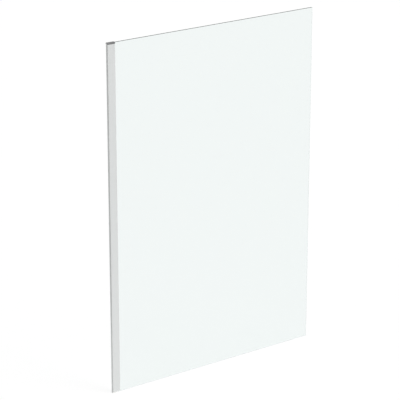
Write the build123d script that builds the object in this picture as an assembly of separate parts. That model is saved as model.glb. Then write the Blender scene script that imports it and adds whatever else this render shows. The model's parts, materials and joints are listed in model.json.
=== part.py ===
from build123d import *
import os

# Walk-in shower screen: one glass panel, held along one upright edge by an aluminium post.
# The post slides over a channel on the wall, so the screen can be set wider before it is clamped.
# X runs from the wall along the glass. The dry side is -Y and the shower side +Y. Z is up.
# The origin is on the wall at tray level, under the middle of the glass thickness.
# All sizes are in millimetres.

# Overall size
glass_height = 2000.0
glass_thickness = 8.0
closed_width = 1380.0
width_travel = 20.0

# Post, the extrusion that shows
post_face = 47.0
post_depth = 15.6
post_wall = 1.4
post_edge_radius = 1.0
post_web_corner = 0.6
post_bottom = 6.0
wall_clearance = 0.5
mouth_lip_depth = 1.2
mouth_lip_height = 0.8
mouth_lip_radius = 0.3

# Wall channel, the extrusion inside the post
slide_gap = 0.3
channel_wall = 1.3
channel_web = 1.8
channel_corner = 0.8
channel_lead_in = 0.6
channel_short_of_top = 0.5
drill_groove_depth = 0.5
sealant_groove_radius = 0.6
sealant_groove_inset = 1.7
wall_hole_radius = 2.5
wall_hole_heights = [100, 700, 1300, 1900]

# Clamp screws between post and channel, on the shower side
clamp_heights = [150, 1000, 1850]
clamp_inset = 6.5
screw_radius = 1.95
screw_length = 8.0
screw_head_radius = 3.9
screw_head_height = 2.4
screw_head_bevel = 0.8
recess_reach = 2.1
recess_width = 1.1
recess_depth = 1.5
screw_point_bevel = 0.5
thread_gap = 0.05
post_hole_radius = 2.15
slot_radius = 2.4
slot_end_margin = 2.1
cup_radius = 5.0
cup_floor = 0.8
cup_height = 1.6
cup_rim = 0.8
cover_radius = 5.6
cover_height = 4.4
cover_wall = 0.55
clamp_plate_across = 9.0
clamp_plate_along = 30.0
clamp_plate_thickness = 2.5
clamp_plate_corner = 2.0
clamp_plate_gap = 0.4

# Glass seating
packer_thickness = 2.1
packer_length = 60.0
packer_corner = 1.5
glass_arris = 0.5
glass_corner_radius = 3.0
gasket_length = 8.3
gasket_gap = 0.1
gasket_bead = 0.9
wedge_teeth = 3
wedge_tooth_height = 0.6

# Cap over the post's upper end
cap_plate = 2.0
cap_skirt = 1.0
cap_drop = 7.0
cap_edge_radius = 0.7
cap_wall_overhang = 0.2
cap_tongue_drop = 12.0
cap_tongue_web_gap = 0.1
cap_tongue_glass_gap = 0.3
cap_tongue_side_gap = 0.3
cap_tongue_lead_in = 0.5
crush_rib_width = 1.0

# Foot under the wall channel
foot_length = 30.0
foot_wall = 1.5
foot_rib = 1.2
foot_rib_lift = 0.8
foot_nose_radius = 2.0
foot_spigot_height = 12.0
foot_spigot_start = 2.6
foot_spigot_length = 22.4
foot_snap_length = 6.0

# Places worked out from the sizes above
glass_half = glass_thickness / 2
post_half = post_depth / 2
post_inner = post_half - post_wall
post_start = wall_clearance
post_end = post_start + post_face
channel_half = post_inner - slide_gap
channel_inner = channel_half - channel_wall
clamp_x = post_start + clamp_inset
channel_reach = clamp_x + width_travel + slot_radius + slot_end_margin
post_web_start = channel_reach + wall_clearance
pocket_floor = post_web_start + post_wall
glass_start = pocket_floor + packer_thickness
lip_start = post_end - mouth_lip_depth
lip_half = post_inner - mouth_lip_height
gasket_start = lip_start - gasket_gap - gasket_length


def rectangle(x0, x1, y0, y1):
    """A flat rectangle between two corners."""
    return Pos((x0 + x1) / 2, (y0 + y1) / 2) * Rectangle(x1 - x0, y1 - y0)


def upright(section, z0, z1):
    """A bar of one cross-section between two heights."""
    return Pos(0, 0, z0) * extrude(section, z1 - z0)


def disc(radius, z0, z1):
    """A round bar about the local Z axis between two heights."""
    return upright(Circle(radius), z0, z1)


def corners(section, x, y):
    """The section's corners at a distance x from the wall, y either side of the middle."""
    return [v for v in section.vertices() if abs(v.X - x) < 0.01 and abs(abs(v.Y) - y) < 0.01]


def clamp_place(height):
    """A place on one clamp screw's axis, with local Z pointing out to the shower side."""
    return Pos(clamp_x, 0, height) * Rot(X=-90)


def wall_channel():
    """U-shaped extrusion, screwed to the wall through its web and open towards the glass."""
    section = rectangle(0, channel_reach, -channel_half, channel_half)
    section -= rectangle(channel_web, channel_reach + 1, -channel_inner, channel_inner)
    section = fillet(corners(section, channel_web, channel_inner), channel_corner)
    section = chamfer(corners(section, channel_reach, channel_half), channel_lead_in)
    # A V-groove centres the drill, and two round grooves on the wall side take the sealant.
    groove_side = drill_groove_depth * 2**0.5
    section -= Pos(channel_web) * Rot(Z=45) * Rectangle(groove_side, groove_side)
    for side in (-1, 1):
        groove_y = side * (channel_half - sealant_groove_inset)
        section -= Pos(0, groove_y) * Circle(sealant_groove_radius)
    channel = upright(section, post_bottom, glass_height - channel_short_of_top)
    for height in wall_hole_heights:
        channel -= Pos(0, 0, height) * Rot(Y=90) * disc(wall_hole_radius, -1, channel_web + 1)
    slot = extrude(SlotCenterToCenter(width_travel, 2 * slot_radius), post_half)
    for height in clamp_heights:
        channel -= clamp_place(height) * Pos(width_travel / 2) * slot
    return channel


def glass_post():
    """The extrusion that shows: a chamber over the wall channel, a cross web, and the glass pocket."""
    section = rectangle(post_start, post_end, -post_half, post_half)
    section = fillet(section.vertices(), post_edge_radius)
    section -= rectangle(post_start - 1, post_web_start, -post_inner, post_inner)
    section -= rectangle(pocket_floor, lip_start, -post_inner, post_inner)
    section -= rectangle(lip_start - 1, post_end + 1, -lip_half, lip_half)
    section = fillet(corners(section, post_web_start, post_inner), post_web_corner)
    section = fillet(corners(section, post_end, lip_half), mouth_lip_radius)
    post = upright(section, post_bottom, glass_height)
    for height in clamp_heights:
        post -= clamp_place(height) * disc(post_hole_radius, 0, post_depth)
    return post


def glass_panel():
    """Toughened pane standing on the tray, with dubbed corners and a ground arris all round."""
    width = closed_width - glass_start
    outline = Pos(glass_start + width / 2, glass_height / 2) * Rectangle(width, glass_height)
    outline = fillet(outline.vertices(), glass_corner_radius)
    pane = Plane.XZ * extrude(outline, glass_half, both=True)
    return chamfer(pane.faces().filter_by(Axis.Y).edges(), glass_arris)


def gasket_mouth():
    """The part both gaskets share: a neck between the post's lip and the glass, and a rounded bead."""
    neck = rectangle(lip_start - 2 * gasket_gap, post_end, glass_half, lip_half - gasket_gap)
    bead = rectangle(post_end, post_end + gasket_bead, glass_half, post_inner)
    outer_corner = bead.vertices().group_by(Axis.X)[-1].sort_by(Axis.Y)[-1]
    return neck + fillet(outer_corner, gasket_bead * 0.8)


def front_gasket():
    """Hooked gasket on the dry side, pushed into the post before the glass."""
    heel = rectangle(gasket_start, lip_start - gasket_gap, glass_half, post_inner)
    section = heel + gasket_mouth()
    return upright(mirror(section, Plane.XZ), post_bottom, glass_height)


def wedge_gasket():
    """Toothed wedge on the shower side, pressed in last to lock the glass."""
    pitch = gasket_length / wedge_teeth
    outline = [(gasket_start, glass_half)]
    for tooth in range(wedge_teeth):
        root = gasket_start + tooth * pitch
        outline.append((root, post_inner - wedge_tooth_height))
        outline.append((root + 0.85 * pitch, post_inner))
        outline.append((root + pitch, post_inner))
    outline.append((gasket_start + gasket_length, glass_half))
    section = make_face(Polyline(*outline, close=True)) + gasket_mouth()
    return upright(section, post_bottom, glass_height)


def edge_packer(height):
    """Pad between the edge of the glass and the post's cross web."""
    pad = Box(packer_thickness, glass_thickness, packer_length)
    pad = fillet(pad.edges().filter_by(Axis.X), packer_corner)
    return Pos((pocket_floor + glass_start) / 2, 0, height) * pad


def cap_tongue():
    """Flat tongue under the cap, behind the edge of the glass, with crush ribs that grip the post's walls."""
    start = pocket_floor + cap_tongue_web_gap
    end = glass_start - cap_tongue_glass_gap
    half = post_inner - cap_tongue_side_gap
    bottom = glass_height - cap_tongue_drop
    tongue = upright(rectangle(start, end, -half, half), bottom, glass_height)
    tongue = chamfer(tongue.faces().sort_by(Axis.Z)[0].edges(), cap_tongue_lead_in)
    middle = (start + end) / 2
    ribs = rectangle(middle - crush_rib_width / 2, middle + crush_rib_width / 2, -post_inner, post_inner)
    return tongue + upright(ribs, bottom + 2 * cap_tongue_lead_in, glass_height)


def top_cap():
    """Moulded lid over the post's upper end, open to the wall and notched for glass and gaskets."""
    lid_half = post_half + cap_skirt
    outline = rectangle(post_start - cap_wall_overhang, post_end + cap_skirt, -lid_half, lid_half)
    outline = fillet(outline.vertices().group_by(Axis.X)[-1], post_edge_radius + cap_skirt)
    lid = upright(outline, glass_height - cap_drop, glass_height + cap_plate)
    lid = fillet(lid.faces().sort_by(Axis.Z)[-1].edges(), cap_edge_radius)
    hollow = rectangle(post_start - 1, post_end, -post_half, post_half)
    hollow += rectangle(post_end - 1, post_end + 2 * cap_skirt, -post_inner - 0.1, post_inner + 0.1)
    lid -= upright(hollow, glass_height - cap_drop - 1, glass_height)
    return lid + cap_tongue()


def foot_plug():
    """Moulded foot under the wall channel, cored out below, with a spigot up between the flanges."""
    outline = rectangle(0, foot_length, -channel_half, channel_half)
    outline = fillet(outline.vertices().group_by(Axis.X)[-1], foot_nose_radius)
    foot = upright(outline, 0, post_bottom)
    foot -= upright(offset(outline, -foot_wall), -1, post_bottom - foot_wall)
    for x in (foot_length / 3, foot_length * 2 / 3):
        rib = rectangle(x - foot_rib / 2, x + foot_rib / 2, 1 - channel_half, channel_half - 1)
        foot += upright(rib, foot_rib_lift, post_bottom)
    spigot_half = channel_inner - 0.2
    spigot = rectangle(foot_spigot_start, foot_spigot_start + foot_spigot_length, -spigot_half, spigot_half)
    spigot = fillet(spigot.vertices(), foot_wall)
    spigot -= offset(spigot, -foot_wall)
    middle = foot_spigot_start + foot_spigot_length / 2
    for side in (-1, 1):
        spigot += Pos(middle, side * (channel_inner - 0.3)) * Rectangle(foot_snap_length, 0.6)
    return foot + upright(spigot, post_bottom, post_bottom + foot_spigot_height)


def clamp_screw():
    """Pan-head screw with a cross recess, seated in its cup, with its point inside the wall channel."""
    seat = post_half + cup_floor
    top = seat + screw_head_height
    head = disc(screw_head_radius, seat, top)
    head = chamfer(head.edges().sort_by(Axis.Z)[-1], screw_head_bevel)
    slot = rectangle(-recess_reach, recess_reach, -recess_width / 2, recess_width / 2)
    head -= upright(slot + Rot(Z=90) * slot, top - recess_depth, top + 1)
    shank = disc(screw_radius, seat - screw_length, seat + 1)
    shank = chamfer(shank.edges().sort_by(Axis.Z)[0], screw_point_bevel)
    return head + shank


def screw_cup():
    """Cup washer under the screw head, with the flared rim that the cover snaps over."""
    floor = post_half + cup_floor
    rim = post_half + cup_height
    outline = Polyline(
        (post_hole_radius, post_half),
        (cup_radius - 0.5, post_half),
        (cup_radius, rim - 0.4),
        (cup_radius - 0.2, rim),
        (cup_radius - cup_rim, rim),
        (cup_radius - cup_rim - 0.1, floor),
        (post_hole_radius, floor),
        close=True,
    )
    return revolve(Plane.XZ * make_face(outline), Axis.Z)


def button(radius, low, shoulder, top):
    """A round button with straight sides and a crown of two bevels."""
    rise = top - shoulder
    outline = Polyline(
        (0, low),
        (radius, low),
        (radius, shoulder),
        (0.86 * radius, shoulder + 0.6 * rise),
        (0.5 * radius, top),
        (0, top),
        close=True,
    )
    return revolve(Plane.XZ * make_face(outline), Axis.Z)


def screw_cover():
    """Crowned snap cover over the screw head and its cup."""
    low = post_half + 0.15
    shoulder = post_half + cover_height / 2
    top = post_half + cover_height
    inside = button(cover_radius - cover_wall, low - 1, shoulder - 0.1, top - cover_wall)
    return button(cover_radius, low, shoulder, top) - inside


def clamp_plate():
    """Long tapped plate inside the wall channel. Its length stops it turning with the screw."""
    section = Rectangle(clamp_plate_across, clamp_plate_along)
    section = chamfer(section.vertices(), clamp_plate_corner) - Circle(screw_radius + thread_gap)
    top = channel_inner - clamp_plate_gap
    return upright(section, top - clamp_plate_thickness, top)


def at_clamps(piece):
    """One copy of a piece on each clamp screw's axis."""
    return [clamp_place(height) * piece for height in clamp_heights]


def save(name, shape):
    export_step(shape, f"parts/{name}.step")


os.makedirs("parts", exist_ok=True)
save("wall_channel", wall_channel())
save("foot_plug", foot_plug())
save("glass_post", glass_post())
save("glass_panel", glass_panel())
save("front_gasket", front_gasket())
save("wedge_gasket", wedge_gasket())
save("top_cap", top_cap())
for number, height in enumerate(wall_hole_heights, start=1):
    save(f"edge_packer_{number}", edge_packer(height))
save("clamp_screws", Compound(at_clamps(clamp_screw())))
save("clamp_plates", Compound(at_clamps(clamp_plate())))
save("screw_cups", Compound(at_clamps(screw_cup())))
for number, cover in enumerate(at_clamps(screw_cover()), start=1):
    save(f"screw_cover_{number}", cover)
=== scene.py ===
import json
import math

import bmesh
import bpy
from mathutils import Matrix, Vector


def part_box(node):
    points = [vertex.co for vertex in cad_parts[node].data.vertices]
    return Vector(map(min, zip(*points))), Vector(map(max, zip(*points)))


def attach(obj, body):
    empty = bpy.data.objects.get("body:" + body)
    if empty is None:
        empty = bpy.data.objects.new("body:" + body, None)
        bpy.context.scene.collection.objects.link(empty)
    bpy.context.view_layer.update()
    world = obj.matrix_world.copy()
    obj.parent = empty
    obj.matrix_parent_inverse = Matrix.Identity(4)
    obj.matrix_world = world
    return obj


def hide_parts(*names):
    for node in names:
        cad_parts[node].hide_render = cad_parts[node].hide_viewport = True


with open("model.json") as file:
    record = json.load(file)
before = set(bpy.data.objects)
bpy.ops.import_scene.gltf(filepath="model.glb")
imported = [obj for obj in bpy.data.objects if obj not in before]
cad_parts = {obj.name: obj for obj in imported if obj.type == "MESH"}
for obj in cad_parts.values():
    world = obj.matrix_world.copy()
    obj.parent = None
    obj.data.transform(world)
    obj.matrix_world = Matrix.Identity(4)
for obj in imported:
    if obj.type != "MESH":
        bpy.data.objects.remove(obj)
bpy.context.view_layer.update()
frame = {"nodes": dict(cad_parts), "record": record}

# Sizes and places are in metres, and this is one millimetre.
MM = 0.001

# The pane. Its faces stand in by FACE_GAP, clear of the plane that the solids of glass and gasket share.
ARRIS = 0.5 * MM
FACE_GAP = 0.04 * MM
CORNER = 3.0 * MM
CORNER_STEPS = 8

# The pane's material slots. The edge slot carries the painted shade of the polished edge.
FACE_SLOT, PAINTED_SHADE_EDGE_SLOT, ARRIS_SLOT, FOOT_SLOT = range(4)

# The snap covers. The crown is round at a squareness of 1 and flatter below that.
COVERS = 3
COVER_SEGMENTS = 64
COVER_CROWN_STEPS = 12
COVER_BEVEL = 0.15 * MM
COVER_SIDE = 1.6 * MM
COVER_SQUARENESS = 0.62
COVER_WALL = 0.55 * MM
NOTCH_HALF_WIDTH = 1.1 * MM
NOTCH_DEPTH = 0.7 * MM
NOTCH_TURN = math.pi / 2

# Shading of the new meshes: an edge that turns by more degrees than this is sharp, and a face with an edge
# of FLAT_FROM or longer is flat.
PANE_SHARP = 30.0
COVER_SHARP = 40.0
FLAT_FROM = 0.1

# Noise in the materials: its scale per metre, the factors that draw it out along an axis, and its detail
DIE_LINE_SCALE = 1600.0
DIE_LINE_STRETCH = (1.0, 1.0, 0.002)
FINISH_CLOUD_SCALE = 3.0
WAVE_SCALE = 2.2
WAVE_STRETCH = (1.0, 1.0, 2.0)
GRINDING_SCALE = 800.0
GRINDING_STRETCH = (0.15, 1.0, 0.15)
SKIN_SCALE = 500.0
SKIN_STRETCH = (1.0, 1.0, 0.05)
GRAIN_SCALE = 1600.0
MOULD_CLOUD_SCALE = 60.0
TURNING_SCALE = 1200.0
TURNING_STRETCH = (1.0, 0.1, 1.0)
FINE_DETAIL = 4.0
GRAIN_DETAIL = 3.0
CLOUD_DETAIL = 2.0
WAVE_DETAIL = 1.0
NOISE_ROUGHNESS = 0.55

# The part of the noise's range that colours and roughness are spread over
NOISE_LOW = 0.3
NOISE_HIGH = 0.7

# Heights of the bumps
DIE_LINE_HEIGHT = 0.006 * MM
WAVE_HEIGHT = 0.05 * MM
GRINDING_HEIGHT = 0.01 * MM
SKIN_HEIGHT = 0.02 * MM
GRAIN_HEIGHT = 0.03 * MM
FINE_GRAIN_HEIGHT = 0.008 * MM
TURNING_HEIGHT = 0.01 * MM

# Single tints, as linear colours
PANE_TINT = (0.880, 0.9215, 0.9125)
FILM_TINT = (0.94, 0.96, 0.955)
ARRIS_TINT = (0.94, 0.97, 0.965)
FLOOR_TINT = (0.75, 0.75, 0.75)
FLOOR_SHADE = (0.14, 0.14, 0.14)

# Pairs of a dark and a pale tint that a noise blends, as linear colours
ALUMINIUM_TINTS = ((0.68, 0.695, 0.69), (0.72, 0.735, 0.73))
# The polished edge's tints are painted shade: near-black green for the dark surroundings that the edge
# refracts, over the green of the glass's depth.
EDGE_PAINTED_SHADE_TINTS = ((0.024, 0.038, 0.034), (0.040, 0.058, 0.053))
FOOT_ARRIS_TINTS = ((0.84, 0.88, 0.87), (0.90, 0.93, 0.925))
GASKET_TINTS = ((0.74, 0.77, 0.765), (0.80, 0.82, 0.815))
CAP_TINTS = ((0.180, 0.180, 0.183), (0.210, 0.210, 0.213))
NYLON_TINTS = ((0.82, 0.82, 0.80), (0.87, 0.87, 0.85))
PACKER_TINTS = ((0.09, 0.09, 0.095), (0.12, 0.12, 0.125))
STEEL_TINTS = ((0.55, 0.55, 0.54), (0.66, 0.66, 0.65))
COVER_TINTS = ((0.60, 0.61, 0.61), (0.66, 0.67, 0.67))

# Roughness: the limits that a noise moves it between, or a middle value with ROUGHNESS_BAND round it
EDGE_ROUGHNESS = (0.08, 0.22)
ARRIS_ROUGHNESS = (0.28, 0.44)
FOOT_ARRIS_ROUGHNESS = (0.44, 0.58)
GASKET_ROUGHNESS = (0.30, 0.42)
STEEL_ROUGHNESS = (0.22, 0.36)
ROUGHNESS_BAND = (-0.05, 0.07)
ALUMINIUM_ROUGHNESS = 0.38
CAP_ROUGHNESS = 0.5
NYLON_ROUGHNESS = 0.45
PACKER_ROUGHNESS = 0.7
COVER_ROUGHNESS = 0.3
FLOOR_ROUGHNESS = 0.9

# Other properties of the materials
ALUMINIUM_METALLIC = 0.30
GLASS_IOR = 1.5
MOULDED_IOR = 1.5
GASKET_IOR = 1.49
GASKET_CLEARNESS = 0.35
EDGE_SPECULAR = 0.03
FOOT_ARRIS_SPECULAR = 0.25

# Floor, surround and lamps. The floor lies just below the object, and the surround shows at a strength of 1.
FLOOR_DROP = 0.3 * MM
FLOOR_SIZE = 80.0
FLOOR_GLOW = 0.905
SURROUND_LIGHT = 0.35
SUN_PLACE = Vector((4.5, -7.5, 5.0))
SUN_TARGET = Vector((0, 0, 0))
SUN_STRENGTH = 2.3
SUN_SPREAD = math.radians(40)
FILL_PLACE = Vector((-0.5, -0.12, 0.1))
FILL_TARGET = Vector((0, 0, 0.1))
FILL_POWER = 0.5
FILL_SIZE = 0.3

# The rays that see the floor and the surround as white
SEEING_RAYS = ["Is Camera Ray", "Is Glossy Ray", "Is Transmission Ray"]

# The camera stands where the edges of the glass and the post project as in the photograph, within a pixel.
# Sensor and lens are in millimetres.
CAMERA_PLACE = Vector((-5.2475, -8.0496, 4.4794))
CAMERA_AZIMUTH = math.radians(-36.004)
CAMERA_ELEVATION = math.radians(19.210)
CAMERA_REACH = 200
SENSOR = 36.0
LENS = 170.64


# Shader helpers

def new_material(name):
    """An empty node material and its Principled shader, wired to the output."""
    material = bpy.data.materials.new(name)
    material.use_nodes = True
    tree = material.node_tree
    tree.nodes.clear()
    output = tree.nodes.new("ShaderNodeOutputMaterial")
    shader = tree.nodes.new("ShaderNodeBsdfPrincipled")
    tree.links.new(shader.outputs["BSDF"], output.inputs["Surface"])
    return material, tree, shader, output


def stretched_noise(tree, scale, detail=FINE_DETAIL, stretch=(1.0, 1.0, 1.0)):
    """Noise in object space, with a factor for each axis that draws it out or packs it."""
    place = tree.nodes.new("ShaderNodeTexCoord")
    mapping = tree.nodes.new("ShaderNodeMapping")
    mapping.inputs["Scale"].default_value = stretch
    noise = tree.nodes.new("ShaderNodeTexNoise")
    noise.inputs["Scale"].default_value = scale
    noise.inputs["Detail"].default_value = detail
    noise.inputs["Roughness"].default_value = NOISE_ROUGHNESS
    tree.links.new(place.outputs["Object"], mapping.inputs["Vector"])
    tree.links.new(mapping.outputs["Vector"], noise.inputs["Vector"])
    return noise.outputs["Fac"]


def grinding_marks(tree):
    """The fine marks that grinding and polishing leave along the edges of the pane."""
    return stretched_noise(tree, GRINDING_SCALE, stretch=GRINDING_STRETCH)


def tinted(tree, shader, noise, tints):
    """Colours a shader between a dark and a pale tint."""
    ramp = tree.nodes.new("ShaderNodeValToRGB")
    for stop, position, tint in zip(ramp.color_ramp.elements, (NOISE_LOW, NOISE_HIGH), tints):
        stop.position = position
        stop.color = (*tint, 1)
    tree.links.new(noise, ramp.inputs["Fac"])
    tree.links.new(ramp.outputs["Color"], shader.inputs["Base Color"])


def roughened(tree, shader, noise, limits):
    """Moves a shader's roughness between two limits."""
    spread = tree.nodes.new("ShaderNodeMapRange")
    spread.inputs["From Min"].default_value = NOISE_LOW
    spread.inputs["From Max"].default_value = NOISE_HIGH
    spread.inputs["To Min"].default_value = limits[0]
    spread.inputs["To Max"].default_value = limits[1]
    tree.links.new(noise, spread.inputs["Value"])
    tree.links.new(spread.outputs["Result"], shader.inputs["Roughness"])


def around(roughness):
    """The limits of the band round a middle value of roughness."""
    return [roughness + offset for offset in ROUGHNESS_BAND]


def bumped(tree, shader, noise, height):
    """Bumps a shader's surface by a noise, to a height."""
    bump = tree.nodes.new("ShaderNodeBump")
    bump.inputs["Strength"].default_value = 1.0
    bump.inputs["Distance"].default_value = height
    tree.links.new(noise, bump.inputs["Height"])
    tree.links.new(bump.outputs["Normal"], shader.inputs["Normal"])


def path_share(tree, names):
    """1 for rays of the named kinds, else 0."""
    path = tree.nodes.new("ShaderNodeLightPath")
    total = path.outputs[names[0]]
    for name in names[1:]:
        either = tree.nodes.new("ShaderNodeMath")
        either.operation = "MAXIMUM"
        tree.links.new(total, either.inputs[0])
        tree.links.new(path.outputs[name], either.inputs[1])
        total = either.outputs["Value"]
    return total


def mixed(tree, fac, first, second):
    """A shader that is the first at 0 and the second at 1."""
    mix = tree.nodes.new("ShaderNodeMixShader")
    tree.links.new(fac, mix.inputs["Fac"])
    tree.links.new(first, mix.inputs[1])
    tree.links.new(second, mix.inputs[2])
    return mix.outputs["Shader"]


# Materials

def satin_aluminium():
    """Extruded aluminium: fine die lines along the bar, over a faint cloudiness of the finish."""
    material, tree, shader, _ = new_material("satin_aluminium")
    lines = stretched_noise(tree, DIE_LINE_SCALE, stretch=DIE_LINE_STRETCH)
    clouds = stretched_noise(tree, FINISH_CLOUD_SCALE, CLOUD_DETAIL)
    tinted(tree, shader, lines, ALUMINIUM_TINTS)
    roughened(tree, shader, clouds, around(ALUMINIUM_ROUGHNESS))
    shader.inputs["Metallic"].default_value = ALUMINIUM_METALLIC
    bumped(tree, shader, lines, DIE_LINE_HEIGHT)
    return material


def glass_shader(shader, tint):
    """Sets a Principled shader to clear glass of a tint."""
    shader.inputs["Base Color"].default_value = (*tint, 1)
    shader.inputs["Roughness"].default_value = 0.0
    shader.inputs["IOR"].default_value = GLASS_IOR
    shader.inputs["Transmission Weight"].default_value = 1.0


def lamps_through(tree, surface, output):
    """Lamps shine through the surface as through tinted film, so the pane's shadow stays faint."""
    film = tree.nodes.new("ShaderNodeBsdfTransparent")
    film.inputs["Color"].default_value = (*FILM_TINT, 1)
    final = mixed(tree, path_share(tree, ["Is Shadow Ray"]), surface, film.outputs["BSDF"])
    tree.links.new(final, output.inputs["Surface"])


def clear_glass():
    """The two faces of the toughened pane, with the slow waves that its rollers leave."""
    material, tree, shader, output = new_material("clear_glass")
    glass_shader(shader, PANE_TINT)
    waves = stretched_noise(tree, WAVE_SCALE, WAVE_DETAIL, WAVE_STRETCH)
    bumped(tree, shader, waves, WAVE_HEIGHT)
    lamps_through(tree, shader.outputs["BSDF"], output)
    return material


def polished_edge_painted_shade():
    """Polished edge of the pane: from outside a painted shade, a near-black green that stands in for the
    dark surroundings the edge refracts, over the green of the glass's depth; clear from inside.
    """
    material, tree, shader, output = new_material("glass_edge_painted_shade")
    marks = grinding_marks(tree)
    tinted(tree, shader, marks, EDGE_PAINTED_SHADE_TINTS)
    roughened(tree, shader, marks, EDGE_ROUGHNESS)
    shader.inputs["IOR"].default_value = GLASS_IOR
    shader.inputs["Specular IOR Level"].default_value = EDGE_SPECULAR
    bumped(tree, shader, marks, GRINDING_HEIGHT)
    inside = tree.nodes.new("ShaderNodeBsdfPrincipled")
    glass_shader(inside, PANE_TINT)
    side = tree.nodes.new("ShaderNodeNewGeometry")
    by_side = mixed(tree, side.outputs["Backfacing"], shader.outputs["BSDF"], inside.outputs["BSDF"])
    lamps_through(tree, by_side, output)
    return material


def ground_arris():
    """Frosted bevel left by the grinding wheel."""
    material, tree, shader, output = new_material("glass_arris_ground")
    glass_shader(shader, ARRIS_TINT)
    roughened(tree, shader, grinding_marks(tree), ARRIS_ROUGHNESS)
    lamps_through(tree, shader.outputs["BSDF"], output)
    return material


def foot_arris():
    """Bevel at the foot of the pane, ground white."""
    material, tree, shader, output = new_material("glass_arris_foot")
    marks = grinding_marks(tree)
    tinted(tree, shader, marks, FOOT_ARRIS_TINTS)
    roughened(tree, shader, marks, FOOT_ARRIS_ROUGHNESS)
    shader.inputs["IOR"].default_value = GLASS_IOR
    shader.inputs["Specular IOR Level"].default_value = FOOT_ARRIS_SPECULAR
    bumped(tree, shader, marks, GRINDING_HEIGHT)
    lamps_through(tree, shader.outputs["BSDF"], output)
    return material


def clear_gasket():
    """Translucent soft plastic with a satin skin."""
    material, tree, shader, _ = new_material("clear_gasket")
    skin = stretched_noise(tree, SKIN_SCALE, stretch=SKIN_STRETCH)
    tinted(tree, shader, skin, GASKET_TINTS)
    roughened(tree, shader, skin, GASKET_ROUGHNESS)
    shader.inputs["Transmission Weight"].default_value = GASKET_CLEARNESS
    shader.inputs["IOR"].default_value = GASKET_IOR
    bumped(tree, shader, skin, SKIN_HEIGHT)
    return material


def moulded(name, tints, roughness, height=GRAIN_HEIGHT):
    """Moulded plastic or rubber with the fine spark-eroded grain of its tool."""
    material, tree, shader, _ = new_material(name)
    grain = stretched_noise(tree, GRAIN_SCALE, GRAIN_DETAIL)
    clouds = stretched_noise(tree, MOULD_CLOUD_SCALE, CLOUD_DETAIL)
    tinted(tree, shader, clouds, tints)
    roughened(tree, shader, grain, around(roughness))
    shader.inputs["IOR"].default_value = MOULDED_IOR
    bumped(tree, shader, grain, height)
    return material


def stainless_steel():
    """Bright stainless with the turning marks of small hardware."""
    material, tree, shader, _ = new_material("stainless_steel")
    marks = stretched_noise(tree, TURNING_SCALE, stretch=TURNING_STRETCH)
    tinted(tree, shader, marks, STEEL_TINTS)
    roughened(tree, shader, marks, STEEL_ROUGHNESS)
    shader.inputs["Metallic"].default_value = 1.0
    bumped(tree, shader, marks, TURNING_HEIGHT)
    return material


# The material of each slot that the record names
MATERIALS = {
    "satin_aluminium": satin_aluminium(),
    "clear_glass": clear_glass(),
    "clear_gasket": clear_gasket(),
    "grey_plastic": moulded("grey_plastic", CAP_TINTS, CAP_ROUGHNESS),
    "white_nylon": moulded("white_nylon", NYLON_TINTS, NYLON_ROUGHNESS),
    "packer_rubber": moulded("packer_rubber", PACKER_TINTS, PACKER_ROUGHNESS),
    "stainless_steel": stainless_steel(),
    "silver_plastic": moulded("silver_plastic", COVER_TINTS, COVER_ROUGHNESS, FINE_GRAIN_HEIGHT),
}


def dress_nodes():
    """Each carried-over node gets the material of its slot."""
    for part in frame["record"]["subparts"]:
        node = frame["nodes"][part["node"]]
        node.data.materials.clear()
        node.data.materials.append(MATERIALS[part["material_slot"]])


# Mesh helpers

def linked(name, data):
    """A new object in the scene that holds a mesh, a lamp or a camera."""
    holder = bpy.data.objects.new(name, data)
    bpy.context.scene.collection.objects.link(holder)
    return holder


def as_mesh(shape, name, sharp):
    """A mesh from a bmesh, smooth but for long faces and the edges that turn more than sharp degrees."""
    bmesh.ops.recalc_face_normals(shape, faces=shape.faces)
    for face in shape.faces:
        face.smooth = max(edge.calc_length() for edge in face.edges) < FLAT_FROM
    for edge in shape.edges:
        if len(edge.link_faces) == 2:
            edge.smooth = edge.calc_face_angle() < math.radians(sharp)
    mesh = bpy.data.meshes.new(name)
    shape.to_mesh(mesh)
    shape.free()
    return mesh


# Glass pane

def rounded_outline(low, high, inset):
    """Points of the pane's outline in X and Z, with its rounded corners, moved in by inset."""
    left, right = low.x + CORNER, high.x - CORNER
    bottom, top = low.z + CORNER, high.z - CORNER
    reach = CORNER - inset
    points = []
    for x, z, start in [(right, top, 0), (left, top, 90), (left, bottom, 180), (right, bottom, 270)]:
        for step in range(CORNER_STEPS + 1):
            angle = math.radians(start + 90 * step / CORNER_STEPS)
            points.append((x + reach * math.cos(angle), z + reach * math.sin(angle)))
    return points


def edge_slot(face, flat, low, high):
    """Slot of a rim face: polished with painted shade on the edge and upper bevels, so the top reads darker
    than the sides; white at the foot, frosted elsewhere.
    """
    heights = [vert.co.z for vert in face.verts]
    if flat or min(heights) > high.z - CORNER / 2:
        return PAINTED_SHADE_EDGE_SLOT
    return FOOT_SLOT if max(heights) < low.z + CORNER / 2 else ARRIS_SLOT


def glass_pane():
    """The pane with rounded corners, and a rim of a bevel, the flat edge and a second bevel."""
    low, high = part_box("glass_panel")
    near, far = low.y + FACE_GAP, high.y - FACE_GAP
    shape = bmesh.new()
    rings = []
    for y, inset in [(near, ARRIS), (near + ARRIS, 0), (far - ARRIS, 0), (far, ARRIS)]:
        rings.append([shape.verts.new((x, y, z)) for x, z in rounded_outline(low, high, inset)])
    for flat, ring, above in zip((False, True, False), rings, rings[1:]):
        for step in range(len(ring)):
            following = (step + 1) % len(ring)
            face = shape.faces.new([ring[step], ring[following], above[following], above[step]])
            face.material_index = edge_slot(face, flat, low, high)
    for outer in (rings[0], rings[-1]):
        shape.faces.new(outer).material_index = FACE_SLOT
    mesh = as_mesh(shape, "glass_pane", PANE_SHARP)
    for material in (MATERIALS["clear_glass"], polished_edge_painted_shade(), ground_arris(), foot_arris()):
        mesh.materials.append(material)
    piece = linked("glass_pane", mesh)
    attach(piece, "glass_side")
    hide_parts("glass_panel")


# Snap covers

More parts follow.
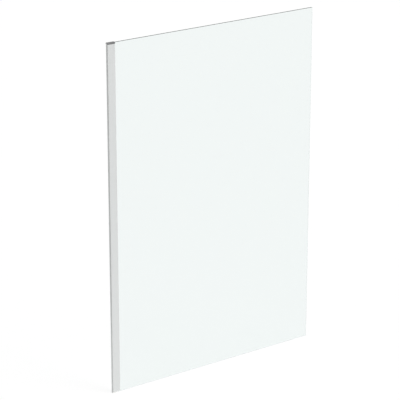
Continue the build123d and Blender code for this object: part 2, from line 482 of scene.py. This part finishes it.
def cover_profile(radius, rise):
    """Distance from the axis and height, from the crown's inside round the rim to its outside."""
    outer = [(radius - COVER_BEVEL, 0), (radius, COVER_BEVEL), (radius, COVER_SIDE)]
    for step in range(1, COVER_CROWN_STEPS + 1):
        turn = math.pi / 2 * step / COVER_CROWN_STEPS
        reach = radius * math.cos(turn) ** COVER_SQUARENESS if step < COVER_CROWN_STEPS else 0
        outer.append((reach, COVER_SIDE + (rise - COVER_SIDE) * math.sin(turn)))
    inner = [(max(0, r - COVER_WALL), max(0, h - COVER_WALL)) for r, h in outer[2:-1]]
    inner = [(radius - COVER_WALL, 0)] + inner + [(0, rise - COVER_WALL)]
    return inner[::-1] + outer


def notched(reach, height, angle):
    """A ring point's height on a cover, raised where the pry notch is cut into the rim."""
    away = abs((angle - NOTCH_TURN + math.pi) % (2 * math.pi) - math.pi) * reach
    return height + (NOTCH_DEPTH if away < NOTCH_HALF_WIDTH and height < NOTCH_DEPTH else 0)


def cover_ring(shape, reach, height):
    """The points of a cover at one place of its profile: a ring, or one point on the axis."""
    if reach == 0:
        return [shape.verts.new((0, 0, height))]
    ring = []
    for step in range(COVER_SEGMENTS):
        angle = 2 * math.pi * step / COVER_SEGMENTS
        place = (reach * math.cos(angle), reach * math.sin(angle), notched(reach, height, angle))
        ring.append(shape.verts.new(place))
    return ring


def bridge(shape, first, second):
    """Faces between two rings, either of which may be one point."""
    count = max(len(first), len(second))
    for step in range(count):
        following = (step + 1) % count
        loop = [first[step % len(first)], first[following % len(first)]]
        loop += [second[following % len(second)], second[step % len(second)]]
        shape.faces.new(list(dict.fromkeys(loop)))


def screw_cover(number):
    """Domed snap cover, hollow, with a small pry notch at the foot of its rim."""
    node = "screw_cover_%d" % number
    low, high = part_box(node)
    centre = (low + high) / 2
    shape = bmesh.new()
    profile = cover_profile((high.x - low.x) / 2, high.y - low.y)
    rings = [cover_ring(shape, reach, height) for reach, height in profile]
    for first, second in zip(rings, rings[1:]):
        bridge(shape, first, second)
    turn = Matrix.Rotation(-math.pi / 2, 4, "X")
    place = Matrix.Translation((centre.x, low.y, centre.z))
    bmesh.ops.transform(shape, matrix=place @ turn, verts=shape.verts)
    name = "snap_cover_%d" % number
    mesh = as_mesh(shape, name, COVER_SHARP)
    mesh.materials.append(MATERIALS["silver_plastic"])
    piece = linked(name, mesh)
    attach(piece, "glass_side")
    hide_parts(node)


# Floor, light and camera

def floor_material():
    """Lights the object as a pale floor does, and is seen as white with the object's shadow."""
    material, tree, shader, output = new_material("floor_white")
    shader.inputs["Base Color"].default_value = (*FLOOR_TINT, 1)
    shader.inputs["Roughness"].default_value = FLOOR_ROUGHNESS
    shader.inputs["Specular IOR Level"].default_value = 0.0
    glow = tree.nodes.new("ShaderNodeEmission")
    glow.inputs["Strength"].default_value = FLOOR_GLOW
    dim = tree.nodes.new("ShaderNodeBsdfDiffuse")
    dim.inputs["Color"].default_value = (*FLOOR_SHADE, 1)
    both = tree.nodes.new("ShaderNodeAddShader")
    tree.links.new(dim.outputs["BSDF"], both.inputs[0])
    tree.links.new(glow.outputs["Emission"], both.inputs[1])
    seen = path_share(tree, SEEING_RAYS)
    final = mixed(tree, seen, shader.outputs["BSDF"], both.outputs["Shader"])
    tree.links.new(final, output.inputs["Surface"])
    return material


def floor():
    """A large flat floor under the object."""
    half = FLOOR_SIZE / 2
    corners = [(-half, -half), (half, -half), (half, half), (-half, half)]
    mesh = bpy.data.meshes.new("floor")
    mesh.from_pydata([(x, y, -FLOOR_DROP) for x, y in corners], [], [(0, 1, 2, 3)])
    mesh.materials.append(floor_material())
    plane = linked("floor", mesh)


def surround():
    """A white surround that lights the object at a lower level than it shows."""
    world = bpy.data.worlds.new("studio")
    bpy.context.scene.world = world
    world.use_nodes = True
    tree = world.node_tree
    tree.nodes.clear()
    output = tree.nodes.new("ShaderNodeOutputWorld")
    levels = []
    for strength in (SURROUND_LIGHT, 1.0):
        level = tree.nodes.new("ShaderNodeBackground")
        level.inputs["Color"].default_value = (1, 1, 1, 1)
        level.inputs["Strength"].default_value = strength
        levels.append(level.outputs["Background"])
    seen = path_share(tree, SEEING_RAYS)
    tree.links.new(mixed(tree, seen, *levels), output.inputs["Surface"])


def lamp(name, kind, place, target, strength):
    """A lamp at a place, aimed at a target and kept out of reflections."""
    data = bpy.data.lights.new(name, kind)
    data.energy = strength
    holder = linked(name, data)
    holder.location = place
    holder.rotation_euler = (place - target).to_track_quat("Z", "Y").to_euler()
    holder.visible_glossy = False
    holder.visible_transmission = False
    return data


def lamps():
    """A broad sun from the dry side, and a small lamp near the foot of the post."""
    sun = lamp("key_sun", "SUN", SUN_PLACE, SUN_TARGET, SUN_STRENGTH)
    sun.angle = SUN_SPREAD
    fill = lamp("foot_fill", "AREA", FILL_PLACE, FILL_TARGET, FILL_POWER)
    fill.shape = "DISK"
    fill.size = FILL_SIZE


def camera():
    """The photograph's camera."""
    data = bpy.data.cameras.new("camera")
    data.sensor_width = SENSOR
    data.lens = LENS
    data.clip_end = CAMERA_REACH
    holder = linked("camera", data)
    holder.location = CAMERA_PLACE
    holder.rotation_euler = (math.pi / 2 - CAMERA_ELEVATION, 0, CAMERA_AZIMUTH)
    bpy.context.scene.camera = holder


dress_nodes()
glass_pane()
for number in range(1, COVERS + 1):
    screw_cover(number)
floor()
surround()
lamps()
camera()
bpy.context.scene.view_settings.view_transform = "Standard"
